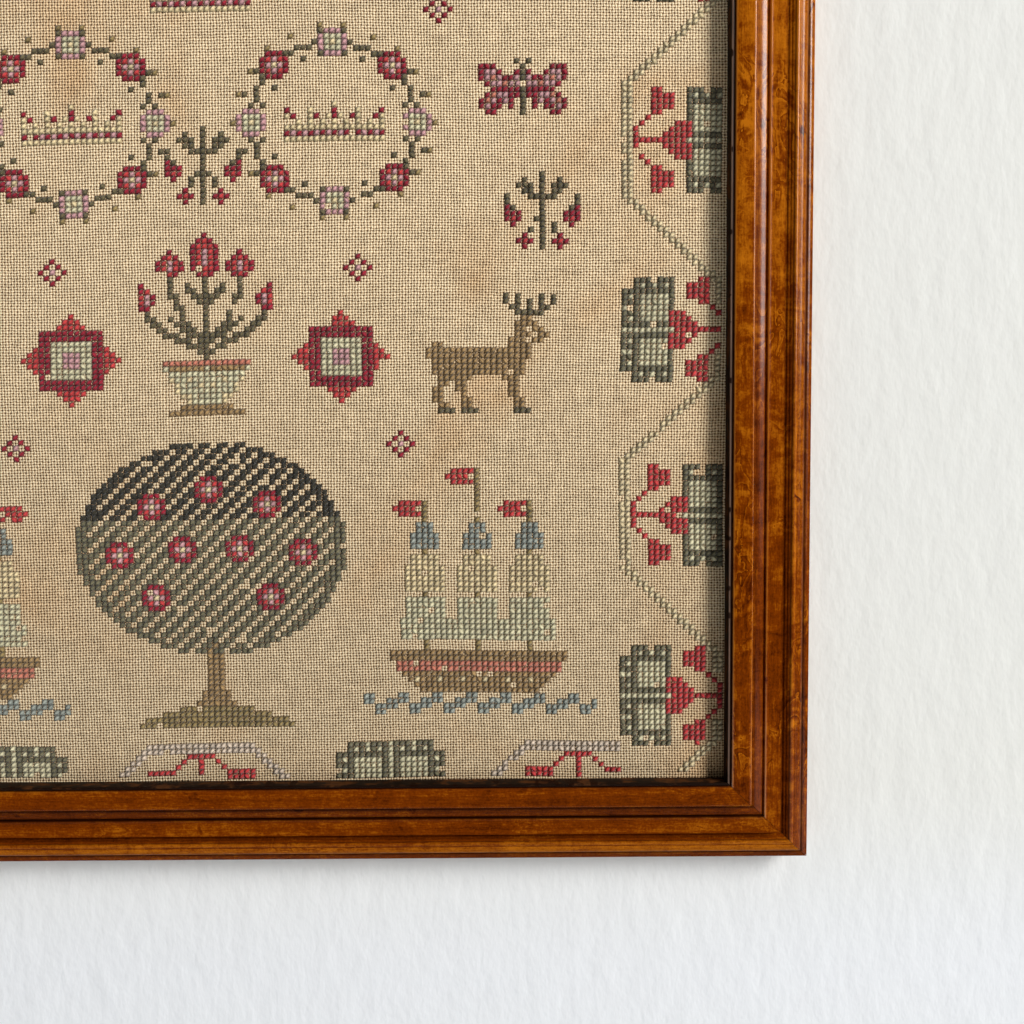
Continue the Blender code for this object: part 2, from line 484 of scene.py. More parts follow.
def maple_material(name, along, wood, vigour, gloss):
    """Amber bird's-eye maple. along is the grain's axis, 0 for X and 2 for Z.

    vigour is how strongly the wood is figured, gloss how bright its rubbed edges shine.
    """
    shader = Shader(name)
    x, y, z = shader.place()
    grain, across = (x, z) if along == 0 else (z, x)

    def figure(along_scale, across_scale, detail=2.0, distortion=0.0):
        """Noise centred on 0, its scales in turns per metre along and across the grain."""
        place = shader.vector(grain * along_scale, across * across_scale, y * across_scale)
        return shader.noise(place, 1.0, detail, 0.55, distortion) - 0.5

    sway = figure(9.0, 20.0)
    mottle = figure(52.0, 105.0, 3.0, 1.1)
    curl = figure(230.0, 90.0, 2.0, 0.9)
    streak = figure(7.0, 480.0)
    fibre = figure(240.0, 2300.0)
    speck = figure(1500.0, 1500.0)
    squiggle = 1.0 - shader.smooth((curl + mottle * 0.4).maths("ABSOLUTE"), 0.004, 0.016)
    squiggle = squiggle * shader.smooth(sway, 0.05, 0.16)
    folds = ((mottle + curl * 0.16) * 6.5 + sway * 2.0).maths("FRACT") - 0.5
    folds = folds * shader.smooth(figure(31.0, 44.0), -0.05, 0.14)
    warp = shader.vector(grain * 78.0 + mottle * 1.6, across * 84.0 + curl * 0.7, y * 40.0)
    eye_values = {"Vector": warp, "Scale": 1.0, "Randomness": 1.0}
    distance = shader.node("ShaderNodeTexVoronoi", values=eye_values, output="Distance")
    tint = shader.node("ShaderNodeTexVoronoi", values=eye_values, output="Color")
    chosen = shader.smooth(shader.split(tint)[0], 0.50, 0.56)
    eye = (1.0 - shader.smooth(distance, 0.06, 0.15)) * chosen
    heart = (1.0 - shader.smooth(distance, 0.02, 0.06)) * chosen
    halo = (1.0 - shader.smooth(distance, 0.15, 0.42)) * chosen
    # Painted light: the wood grows lighter with height, up to a cap, where the window's light falls stronger
    painted_light_with_height = (z + 0.30).maths("MINIMUM", 0.13) * 0.72
    figured = mottle * 0.60 + curl * 0.45 + folds * 0.34
    figured = figured + halo * 0.06 - eye * 0.40 + heart * 0.20
    level = 0.54 - 0.05 * vigour + painted_light_with_height + figured * vigour + sway * 0.30 + squiggle * 0.10
    level = level + streak * (0.42 - 0.16 * vigour) + fibre * 0.36 + speck * 0.36
    stops = (
        (0.20, tuple(wood.deep)),
        (0.48, tuple(wood.amber)),
        (0.76, tuple(wood.honey)),
    )
    # quirk: old polish and painted shade, darkening the quirks and the hollow towards the quirk colour
    quirk = shader.attribute("quirk")
    rubbed = shader.attribute("rubbed")
    # Paler wood where rubbed, and painted highlight on the arrises and beads, strongest on the upright rails
    polished = shader.ramp(level + shader.attribute("paler"), stops)
    polished = shader.mix(quirk, polished, tuple(wood.quirk))
    bare_grain = shader.shaded(tuple(wood.bare), fibre * 0.5 + streak * 0.5 + 1.0)
    back = shader.smooth(y, -1.2 * MM, -0.4 * MM).maths("MAXIMUM", shader.attribute("bare"))
    colour = shader.mix(back, polished, bare_grain)
    relief = fibre * 0.000010 + streak * 0.00002 + mottle * 0.00008 - eye * 0.00003
    return shader.finish(
        Base_Color=colour,
        Roughness=wood.polish + fibre * 0.10 + quirk * 0.30 + back * 0.35,
        Normal=shader.bump(relief),
        Specular_IOR_Level=0.008,
        Coat_Weight=rubbed * gloss,
        Coat_Roughness=0.16,
        Coat_IOR=1.8,
    )


def ebonised_material(wood):
    """Black stain, browned where it has rubbed thin and black again in its old knocks, with a painted
    highlight on the crest of the upright slips.
    """
    shader = Shader("ebonised_slip")
    x, y, z = shader.place()
    rub = shader.noise(shader.vector(x * 110.0, y * 240.0, z * 110.0), 1.0, 3.0, 0.6)
    nick = shader.noise(shader.vector(x * 520.0, y * 520.0, z * 520.0), 1.0, 2.0, 0.6)
    knock = shader.noise(shader.vector(x * 240.0, y * 90.0, z * 240.0 + 7.0), 1.0, 1.0, 0.5)
    inner_wall = shader.smooth(y, -(FRAME_DEPTH - 0.4 * MM), -(FRAME_DEPTH - 1.2 * MM))
    crest = shader.attribute("crest")
    worn = shader.smooth(rub + nick * 0.30 + inner_wall * 0.06, 0.66, 0.86)
    colour = shader.mix(worn, tuple(wood.ebony), tuple(wood.worn))
    # Painted highlight on the upright slips' crest
    colour = shader.mix(crest * (rub * 0.8 + 0.4), colour, tuple(wood.crest))
    black = shader.smooth(knock, 0.60, 0.66).maths("MAXIMUM", shader.attribute("joint"))
    colour = shader.mix(black * 0.9, colour, tuple(wood.quirk))
    relief = nick * 0.00005 + rub * 0.00008
    return shader.finish(
        Base_Color=colour,
        Roughness=0.36 + worn * 0.25 + nick * 0.1,
        Normal=shader.bump(relief),
        Specular_IOR_Level=0.05,
    )


def board_material(wood):
    """Thin sawn softwood, darkened by age and dusty."""
    shader = Shader("backing_board")
    x, y, z = shader.place()
    sway = shader.noise(shader.vector(x * 9.0, 0.0, z * 3.0), 1.0, 2.0, 0.5)
    rings = shader.noise(shader.vector(x * 130.0 + sway * 3.0, y * 40.0, z * 3.2), 1.0, 3.0, 0.55)
    fibre = shader.noise(shader.vector(x * 1500.0, y * 1500.0, z * 40.0), 1.0, 2.0, 0.6)
    dust = shader.noise(shader.vector(x * 22.0, y * 22.0, z * 22.0), 1.0, 3.0, 0.6)
    level = rings * 0.75 + fibre * 0.3 + dust * 0.45 + 0.2
    return shader.finish(
        Base_Color=shader.shaded(tuple(wood.board), level),
        Roughness=0.72 + fibre * 0.2,
        Normal=shader.bump(rings * 0.00012 + fibre * 0.00004),
    )


def linen_material(linen):
    """Plain weave, one thread over one, with uneven threads and old stains, painted highlights on the
    knuckles, painted shade in the dips and holes, and painted light towards the top.
    """
    shader = Shader("linen_weave")
    x, _, z = shader.place()
    drift_across, drift_up = drift(x, z, shader.sine)
    pitch_across = CROSS_WIDTH / THREADS_PER_CROSS
    pitch_up = CROSS_HEIGHT / THREADS_PER_CROSS
    first_column = (COLUMN_SHIFT - 0.5) * THREADS_PER_CROSS
    first_row = SIGHT_BOTTOM / MM + ROW_START
    sway_across = shader.noise(shader.vector(x * 380.0, 3.0, z * 380.0), 1.0, 2.0, 0.6) - 0.5
    sway_up = shader.noise(shader.vector(x * 380.0, 8.0, z * 380.0), 1.0, 2.0, 0.6) - 0.5
    warp_place = (x * (1.0 / MM) - drift_across) / pitch_across - first_column + sway_across * 0.7
    weft_place = (z * (1.0 / MM) - drift_up - first_row) / pitch_up + sway_up * 0.7
    warp = warp_place.maths("FLOOR")
    weft = weft_place.maths("FLOOR")
    beside_warp = warp_place - warp - 0.5
    beside_weft = weft_place - weft - 0.5
    parity = (warp + weft).maths("FLOORED_MODULO", 2.0)
    over = 1.0 - parity * 2.0
    slub_warp = shader.noise(shader.vector(warp * 3.71, weft_place * 0.13, 0.0), 1.0, 2.0, 0.6)
    slub_weft = shader.noise(shader.vector(warp_place * 0.13, weft * 3.71, 9.0), 1.0, 2.0, 0.6)
    warp_width = slub_warp * 0.55 + 0.56
    weft_width = slub_weft * 0.55 + 0.56

    def thread(beside, width):
        """Cover, 0 or 1 with a soft edge, and round top of a thread."""
        span = beside.maths("ABSOLUTE") * 2.0
        cover = 1.0 - shader.smooth(span, width - 0.08, width + 0.10)
        share = span / width
        crown = (1.0 - share * share).maths("MAXIMUM", 0.0)
        return cover, crown

    warp_cover, warp_crown = thread(beside_warp, warp_width)
    weft_cover, weft_crown = thread(beside_weft, weft_width)
    warp_wave = over * (beside_weft * math.pi).maths("COSINE") * 0.34
    weft_wave = over * (beside_warp * math.pi).maths("COSINE") * -0.34
    warp_height = (warp_crown * 0.56 + warp_wave + 0.10) * warp_cover
    weft_height = (weft_crown * 0.56 + weft_wave + 0.10) * weft_cover
    # Painted shade: every other hole is darkened more, as the light falls into the holes unevenly
    alternate_hole_shade = over * beside_warp * beside_weft * 4.0
    height = warp_height.maths("MAXIMUM", weft_height) - alternate_hole_shade * 0.18
    height = height.maths("MAXIMUM", 0.0)
    # Colour from height: painted highlight on the knuckles, painted shade where threads dip and in the holes
    stops = (
        (0.06, tuple(linen.hole_shade)),
        (0.30, tuple(linen.shade)),
        (0.60, tuple(linen.thread)),
        (0.94, tuple(linen.knuckle_highlight)),
    )
    colour = shader.ramp(height, stops)
    cloud = shader.noise(shader.vector(x * 11.0, 0.0, z * 9.0), 1.0, 4.0, 0.6, 0.6)
    stain = shader.smooth(cloud, 0.46, 0.72)
    colour = shader.mix(stain * 0.55, colour, shader.mix(1.0, colour, tuple(linen.stain), "MULTIPLY"))
    fluff = shader.noise(shader.vector(x * 900.0, 0.0, z * 900.0), 1.0, 2.0, 0.6)
    # Painted light: the linen is made lighter towards the top
    painted_light_up_linen = shader.smooth(z, -0.42, -0.22) * 0.24 + 0.88
    level = ((slub_warp + slub_weft) * 0.40 + fluff * 0.40 + 0.46) * painted_light_up_linen
    colour = shader.shaded(colour, level)
    relief = height * 0.00030 + fluff * 0.00003
    return shader.finish(
        Base_Color=colour,
        Roughness=0.92,
        Normal=shader.bump(relief),
        Specular_IOR_Level=0.2,
        Sheen_Weight=0.08,
    )


def wool_material(name, yarn):
    """Faded wool whose tone changes from stitch to stitch, with painted shade in the pits at the strands'
    ends and a painted highlight along their tops.
    """
    shader = Shader(name)
    x, y, z = shader.place()
    tone = shader.attribute("tone")
    crest = shader.attribute("crest")
    fade = shader.noise(shader.vector(x * 26.0, y * 26.0, z * 26.0), 1.0, 2.0, 0.5)
    fibre = shader.noise(shader.vector(x * 2600.0, y * 2600.0, z * 2600.0), 1.0, 2.0, 0.6)
    level = tone * 0.52 + fade * 0.30 + fibre * 0.50 - 0.02
    # Painted shade and highlight: darker towards the strands' ends and on the under strand, lighter along the
    # over strand's top
    level = level * (crest * 1.05 + 0.12)
    return shader.finish(
        Base_Color=shader.shaded(yarn, level),
        Roughness=0.9,
        Normal=shader.bump(fibre * 0.00008),
        Specular_IOR_Level=0.25,
        Sheen_Weight=0.15,
        Sheen_Roughness=0.5,
    )


# Frame pieces


def crowned_run(start, end, crown, steps):
    """Points from start to end, without start, on a parabola that bulges by crown."""
    chord = end - start
    outward = Vector((-chord.y, chord.x)).normalized()
    points = []
    for step in range(1, steps + 1):
        t = step / steps
        points.append(start + chord * t + outward * (4.0 * crown * t * (1.0 - t)))
    return points


def maple_section():
    """Outline of a rail as (across, forward) in millimetres, anticlockwise from the ledge."""
    depth = FRAME_DEPTH / MM
    ledge = LEDGE_DEPTH / MM
    width = RAIL_WIDTH / MM
    across, drop = MOULDING_START
    here = Vector((across, depth - drop))
    outline = [Vector((across, ledge)), here]
    for _, across, drop, crown, steps in MOULDING:
        end = Vector((across, depth - drop))
        outline += crowned_run(here, end, crown, steps)
        here = end
    outline.append(Vector((width, BACK_EDGE_CHAMFER)))
    outline.append(Vector((width - BACK_EDGE_CHAMFER, 0.0)))
    outline.append(Vector((RABBET_WIDTH, 0.0)))
    outline.append(Vector((RABBET_WIDTH, ledge)))
    return outline


def slip_section():
    """Outline of a slip: an upright strip whose front edges are rounded."""
    front = FRAME_DEPTH / MM
    ledge = LEDGE_DEPTH / MM
    width = SLIP_WIDTH / MM
    inner_round = Vector((0.0, front - SLIP_ROUND))
    crest_start = Vector((SLIP_ROUND, front))
    crest_end = Vector((width - SLIP_ROUND, front))
    outer_round = Vector((width, front - SLIP_ROUND))
    outline = [Vector((0.0, ledge)), inner_round]
    outline += crowned_run(inner_round, crest_start, SLIP_ROUND * 0.2, 5)
    outline.append(crest_end)
    outline += crowned_run(crest_end, outer_round, SLIP_ROUND * 0.2, 5)
    outline.append(Vector((width, ledge)))
    return outline


def nearest_share(across, places):
    """The strongest of the shares at the places, each falling to 0 away from its place."""
    return max(share * math.exp(-(((across - place) / reach) ** 2)) for place, share, reach in places)


def rubbed_and_highlight_share(across, kind):
    """How rubbed a bead or the fillet is here, as gloss or as paler wood with painted highlight, falling to 0
    at its ends. kind is a column of RUBBED_AND_HIGHLIGHTED.
    """
    share = 0.0
    start = MOULDING_START[0]
    for name, end, *_ in MOULDING:
        if name in RUBBED_AND_HIGHLIGHTED:
            inside = min(across - start, end - across) / RUBBED_EDGE
            share = max(share, RUBBED_AND_HIGHLIGHTED[name][kind] * min(1.0, inside))
        start = end
    return share


def mark_polish(bm, side):
    """Say on each point how dark the gathered polish and painted shade are, how glossy it is rubbed, and how
    pale its rubbed wood and painted highlight are.
    """
    column = 1 if side in ("top", "bottom") else 0
    quirks = [(MOULDING_START[0], GATHERED_POLISH_AND_SHADE_BESIDE_SLIP[column], GATHERED_POLISH_AND_SHADE_BESIDE_SLIP[2])]
    for name, across, *_ in MOULDING:
        if name in GATHERED_POLISH_AND_SHADE:
            quirks.append((across, GATHERED_POLISH_AND_SHADE[name][column], GATHERED_POLISH_AND_SHADE[name][2]))
    arrises = [(across, 1.0, ARRIS_REACH) for name, across, *_ in MOULDING if "arris" in name]
    for name in ("quirk", "rubbed", "paler", "bare"):
        bm.verts.layers.float.new(name)
    polish_and_shade_layer = bm.verts.layers.float["quirk"]
    bare_layer = bm.verts.layers.float["bare"]
    layers = ((0, bm.verts.layers.float["rubbed"]), (1 + column, bm.verts.layers.float["paler"]))
    # quirk holds old polish with painted shade, the paler layer rubbed wood with painted highlight
    for vert in bm.verts:
        arris = nearest_share(vert.co.z, arrises)
        vert[polish_and_shade_layer] = nearest_share(vert.co.z, quirks)
        behind = vert.co.y > -(LEDGE_DEPTH / MM + 0.01)
        vert[bare_layer] = 1.0 if behind and vert.co.z < RABBET_WIDTH + 0.01 else 0.0
        for kind, layer in layers:
            vert[layer] = max(arris * RUBBED_AND_HIGHLIGHTED_ARRIS[kind], rubbed_and_highlight_share(vert.co.z, kind))


def mark_wear(bm, side):
    """Say on each point of a slip whether it is on the crest of an upright slip, which gets a painted
    highlight, or in the dark joint.
    """
    bm.verts.layers.float.new("crest")
    bm.verts.layers.float.new("joint")
    crest_painted_light_layer = bm.verts.layers.float["crest"]
    joint_layer = bm.verts.layers.float["joint"]
    upright = side in ("left", "right")
    front = -(FRAME_DEPTH / MM - SLIP_ROUND + 0.05)
    for vert in bm.verts:
        outer = vert.co.z > SLIP_ROUND + 0.05
        vert[joint_layer] = 1.0 if outer else 0.0
        # Only the upright slips' crest gets the painted highlight
        vert[crest_painted_light_layer] = 1.0 if upright and vert.co.y < front and not outer else 0.0


def mitred_mesh(name, section, sight_length, slices, mark, side):
    """Extrude a section along X with both ends mitred, outward being +Z, in metres."""
    bm = bmesh.new()
    mitre_gap = MITRE_GAP / 2 * math.sqrt(2.0)
    length = sight_length / MM
    corners = [bm.verts.new((-length / 2, -point.y, point.x)) for point in section]
    end_face = bm.faces.new(corners)
    swept = bmesh.ops.extrude_face_region(bm, geom=[end_face])
    far_corners = [item for item in swept["geom"] if isinstance(item, bmesh.types.BMVert)]
    bmesh.ops.translate(bm, verts=far_corners, vec=(length, 0.0, 0.0))
    long_edges = [e for e in bm.edges if abs(e.verts[0].co.x - e.verts[1].co.x) > length / 2]
    bmesh.ops.subdivide_edges(bm, edges=long_edges, cuts=slices)
    mark(bm, side)
    for vert in bm.verts:
        reach = vert.co.x / (length / 2)
        vert.co.x += reach * (vert.co.z - mitre_gap)
    bmesh.ops.recalc_face_normals(bm, faces=bm.faces[:])
    bmesh.ops.scale(bm, verts=bm.verts[:], vec=(MM, MM, MM))
    mesh = bpy.data.meshes.new(name)
    bm.to_mesh(mesh)
    bm.free()
    return mesh


def add_piece(name, mesh, material):
    """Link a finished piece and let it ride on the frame."""
    piece = bpy.data.objects.new(name, mesh)
    bpy.context.scene.collection.objects.link(piece)
    mesh.materials.append(material)
    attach(piece, BODY)
    return piece


def add_four_sides(prefix, replaced, section, slices, materials, mark):
    for side, turn, length, distance in SIDES:
        mesh = mitred_mesh(f"{prefix}_{side}", section, length, slices, mark, side)
        angle = math.radians(turn)
        place = Vector((distance * math.sin(angle), 0.0, SIGHT_MIDDLE_Z + distance * math.cos(angle)))
        mesh.transform(Matrix.Translation(place) @ Matrix.Rotation(angle, 4, "Y"))
        mesh.shade_smooth()
        mesh.set_sharp_from_angle(angle=math.radians(40.0))
        piece = add_piece(f"{prefix}_{side}", mesh, materials[side])
        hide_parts(f"{replaced}_{side}")


# Stitch charts


def opened(half):
    """A whole chart from its left half, whose last column is the middle one."""
    return [row + row[-2::-1] for row in half]


def stamp(cells, chart, middle, lowest, mirrored=False):
    """Lay a chart on the grid, top row first in the chart, its lowest row at lowest."""
    for index, row in enumerate(chart):
        line = row[::-1] if mirrored else row
        for column, yarn in enumerate(line):
            if yarn != ".":
                place = (middle - len(line) // 2 + column, lowest + len(chart) - 1 - index)
                cells[place] = yarn


def fill_rows(cells, yarn, middle, lowest, half_widths):
    """One run of crosses for each half width, from the lowest row up."""
    for step, half in enumerate(half_widths):
        for offset in range(-half, half + 1):
            cells[(middle + offset, lowest + step)] = yarn


BLOCK_AND_SPRIG_HALF = (
    "..GGG.GGG....CC...",
    "..GWGWGWG..CCCC...",
    "GGGGGGGGG..CCCC...",
    "GWGWWWWWG..CCCC...",
    "GGGWWWWWG....CC...",
    "WWGWWWWWG......C..",
    "GGGWWWWWCCC.....C.",
    "GWGWWWWWCCCC.....C",
    "GGGGGGGGCCCCC....C",
    "WWWWWWWWWCCCCCCCCC",
)
BLOCK_AND_SPRIG = BLOCK_AND_SPRIG_HALF + BLOCK_AND_SPRIG_HALF[-2::-1]

BUTTERFLY = opened(
    (
        "......L.",
        "RRR....L",
        "RPPR..RL",
        "RPSPRRPL",
        ".RPPSPPL",
        "..RRRRRL",
        ".RSPPRRL",
        "RSPRPR.L",
        "RPRR.R.L",
        ".RR....L",
    )
)

TULIP_POT = opened(
    (
        "...........R",
        "..........RC",
        ".........RCC",
        ".....R...RCP",
        "....RCR..RCP",
        "...RCPCR.RCP",
        "...RCPCR.RCC",
        "....RCR...RC",
        ".....L.....L",
        "R....L..L..L",
        "RC...L..LL.L",
        "CPR..LL..LLL",
        "CPR...L...LL",
        "RR....LL...L",
        ".L.....L...L",
        ".LL..L.L...L",
        "..LL..LLL..L",
        "...LL..LLL.L",
        "....LLL.LLLL",
        "......LLL.LL",
        "........LLLL",
        "..........LL",
        "...........L",
        "....SSSSSSSS",
        "....WNNNNNNW",
        ".....WWWWWWW",
        ".....YWWYWWW",
        "......YWWWYW",
        "......YWWWWW",
        ".......YYWWW",
        "........YWWW",
        ".......NNNNN",
        ".....NNNNNNN",
    )
)

STAG_BARREL = ["....NNNNNNNNNNNNNNNNNN"] * 2 + [".....NNNNNNNNNNNNNNNN."] * 3
STAG = [
    "L.L...L.L.............",
    "L.L.L.L.L.............",
    ".LL.L.LL..............",
    "..LLLLL...............",
    "....NN................",
    "...NNNN...............",
    "..NNNNN...............",
    ".NNNNNN...............",
    "..NNNNNN..............",
    "....NNNN...........NN.",
    *STAG_BARREL,
    "......NNN.....NNNNNN..",
    "......NN.......NN.NN..",
    "......NN.......NN..NN.",
    "......NN.......NN..NN.",
    ".....NN.......NN...NN.",
    ".....NN.......NN..NN..",
    "....LLL......LLL.LLL..",
]

CROWN = opened(
    (
        "........Y",
        "R...Y...R",
        "YR..YR.YR",
        "Y.Y.Y.Y.Y",
        "YYYYYYYYY",
        "RPRPRPRPR",
        "YYYYYYYYY",
    )
)

DOG = [
    "...........NN...",
    "...........NNNN.",
    "...........NNNNN",
    "N..........NNN..",
    "NN........NNNR..",
    ".NNNNNNNNNNNNN..",
    ".NNNNNNNNNNNN...",
    ".NNNNNNNNNNNN...",
    ".NNN.....NNNN...",
    ".NN.......NN....",
    ".NN.......NN....",
    ".NNN......NNN...",
]

STRAWBERRY = opened(
    (
        "......L",
        "...L..L",
        "..LLL.L",
        "...LL.L",
        "L...LLL",
        "L.....L",
        "RL....L",
        "RRR...L",
        "RCR..LL",
        ".R..L.L",
        "....L.L",
        "...R..L",
        "..RCR.L",
        "...R..L",
    )
)

ROSE = [".RRR.", "RCPCR", "RPYPR", "RCPCR", ".RRR."]
PALE_ROSE = [".PPP.", "PWWWP", "PWYWP", "PWWWP", ".PPP."]
DIAMOND = ["..R..", ".R.R.", "R.P.R", ".R.R.", "..R.."]
PENNANT = ["CCCC.", ".CCCC", "CCCC."]


def apple_tree(cells, middle, ground):
    """A round tree with fruit on a mound, its crown worked with open gaps."""
    fill_rows(cells, "O", middle, ground, (13, 12, 9, 6))
    fill_rows(cells, "N", middle, ground + 4, (3, 2, 2, 1, 1, 1, 1, 1, 1, 1, 1, 2))
    crown_middle = ground + 33
    half_width = 23
    half_height = 19
    for up in range(-half_height, half_height + 1):
        reach = round(half_width * math.sqrt(1.0 - (up / (half_height + 0.6)) ** 2))
        for across in range(-reach, reach + 1):
            rim = abs(across) > reach - 2
            if rim or (across + 2 * up) % 3:
                cells[(middle + across, crown_middle + up)] = "K" if up > 5 else "G"
    for across, up in ((0, 11), (-10, 8), (10, 8), (-16, -1), (16, -1), (-5, 0), (5, 0), (-10, -9), (10, -9)):
        stamp(cells, ROSE, middle + across, crown_middle + up - 2)


def ship(cells, middle, ground, mirrored):
    """A three masted ship on a pale sea."""
    for offset in range(-20, 21):
        crest = (offset // 2) % 3
        for up in range(2):
            cells[(middle + offset, ground + up + crest)] = "B"
    fill_rows(cells, "N", middle, ground + 4, (10, 11, 12, 13))
    fill_rows(cells, "S", middle, ground + 8, (14, 14))
    fill_rows(cells, "N", middle, ground + 10, (15, 15))
    for offset in range(-11, 12, 4):
        cells[(middle + offset, ground + 6)] = "Y"
    for mast, top in ((-9, 40), (0, 46), (9, 40)):
        for up in range(12, top):
            cells[(middle + mast, ground + up)] = "O"
        fill_rows(cells, "W", middle + mast, ground + 14, (4, 4, 4, 4, 3, 3, 3, 3))
        fill_rows(cells, "Y", middle + mast, ground + 23, (3, 3, 3, 3, 3, 2, 2))
        fill_rows(cells, "B", middle + mast, ground + 31, (2, 2, 2, 1, 1))
        side = -3 if mirrored else 3
        stamp(cells, PENNANT, middle + mast + side, ground + top - 3, mirrored)


def eight_pointed_star(cells, middle, row):
    """A square laid over a diamond, with a pale heart."""
    for up in range(-8, 9):
        for across in range(-8, 9):
            square = max(abs(across), abs(up)) <= 5
            diamond = abs(across) + abs(up) <= 8
            if square or diamond:
                ring = max(abs(across), abs(up))
                yarn = "P" if ring <= 1 else "W" if ring <= 3 else "R" if ring <= 5 else "C"
                cells[(middle + across, row + up)] = yarn


def wreath(cells, middle, row):
    """A ring of stems and leaves with eight roses and a crown inside it."""
    radius = 14.0
    for step in range(88):
        angle = math.tau * step / 88
        across = round(radius * math.cos(angle))
        up = round(radius * math.sin(angle))
        cells[(middle + across, row + up)] = "L"
        if step % 4 == 0:
            for reach in (radius - 2, radius + 2, radius + 3):
                leaf = (middle + round(reach * math.cos(angle)), row + round(reach * math.sin(angle)))
                cells[leaf] = "O" if reach > radius + 2 else "L"
    for step in range(8):
        angle = math.tau * step / 8
        place = (middle + round(radius * math.cos(angle)), row + round(radius * math.sin(angle)) - 2)
        stamp(cells, ROSE if step % 2 else PALE_ROSE, *place)
    stamp(cells, CROWN, middle, row - 3)


def meander_column(distance):
    """Left column of the meander's pair of crosses, for a row's distance from a hollow."""
    if distance <= 10:
        return 71
    if distance <= 26:
        return 71 + distance - 10
    return 87


def side_border(cells):
    """The right border band. The left one is its mirror."""
    hollow_rows = range(-19, LAST_ROW + 60, 68)
    for row in range(LAST_ROW + 1):
        distance = min(abs(row - hollow) for hollow in hollow_rows)
        if distance < 30:
            column = meander_column(distance)
            cells[(column, row)] = "M"
            cells[(column + 1, row)] = "M"
    for centre in range(15, LAST_ROW + 1, 68):
        for index, line in enumerate(BLOCK_AND_SPRIG):
            for step, yarn in enumerate(line):
                if yarn != ".":
                    cells[(71 + step, centre + 9 - index)] = yarn
    for centre in range(49, LAST_ROW + 1, 68):
        for index, line in enumerate(BLOCK_AND_SPRIG):
            for step, yarn in enumerate(line):
                if yarn != ".":
                    cells[(90 - step, centre + 9 - index)] = yarn


def end_border(cells):
    """The bottom border band. The top one is its mirror."""
    for centre, block_inside in ((63, False), (30, True), (-3, False), (-36, True), (-69, False)):
        if not block_inside:
            for offset in range(-16, 17):
                fall = max(0, abs(offset) - 9)
                for row in (5 - fall, 6 - fall):
                    cells[(centre + offset, row)] = "V"
        for index, line in enumerate(BLOCK_AND_SPRIG):
            for step, yarn in enumerate(line):
                row = 6 - step if block_inside else 4 - (len(line) - 1 - step)
                if yarn != ".":
                    cells[(centre + 9 - index, row)] = yarn


def border_cells():
    """All four bands of the border, a yarn for each (column, row)."""
    right = {}
    side_border(right)
    bottom = {}
    end_border(bottom)
    cells = {}
    for (column, row), yarn in bottom.items():
        if abs(column) < 71:
            cells[(column, row)] = yarn
            cells[(column, LAST_ROW - row)] = yarn
    for (column, row), yarn in right.items():
        cells[(column, row)] = yarn
        cells[(-column, row)] = yarn
    return cells


def field_cells():
    """The generic field: ordinary motifs, set out evenly about the middle."""
    cells = {}
    apple_tree(cells, 0, 10)
    stamp(cells, TULIP_POT, 0, 68)
    for side in (-1, 1):
        mirrored = side > 0
        ship(cells, 46 * side, 12, mirrored)
        stamp(cells, STAG, 49 * side, 68, mirrored)
        eight_pointed_star(cells, 23 * side, 78)
        wreath(cells, 22 * side, 120)
        stamp(cells, STRAWBERRY, 57 * side, 98)
        stamp(cells, BUTTERFLY, 54 * side, 122)
        stamp(cells, DOG, 52 * side, 146, not mirrored)
        stamp(cells, TULIP_POT, 22 * side, 148)
        eight_pointed_star(cells, 55 * side, 178)
        stamp(cells, BUTTERFLY, 30 * side, 192)
        stamp(cells, DIAMOND, 33 * side, 60)
        stamp(cells, DIAMOND, 26 * side, 92)
        stamp(cells, DIAMOND, 40 * side, 138)
        stamp(cells, DIAMOND, 8 * side, 188)
        stamp(cells, ROSE, 44 * side, 206)
        stamp(cells, PALE_ROSE, 16 * side, 208)
    stamp(cells, STRAWBERRY, 0, 106)
    stamp(cells, CROWN, 0, 140)
    wreath(cells, 0, 172)
    stamp(cells, ROSE, 0, 210)
    return cells


# Stitches


YARN_NAMES = {
    "R": "crimson",
    "C": "coral",
    "P": "pink",
    "S": "salmon",
    "O": "olive",
    "L": "leaf",
    "G": "slate",
    "K": "dark",
    "W": "pale",
    "B": "ash",
    "Y": "cream",
    "N": "sand",
    "M": "meander",
    "V": "violet",
}


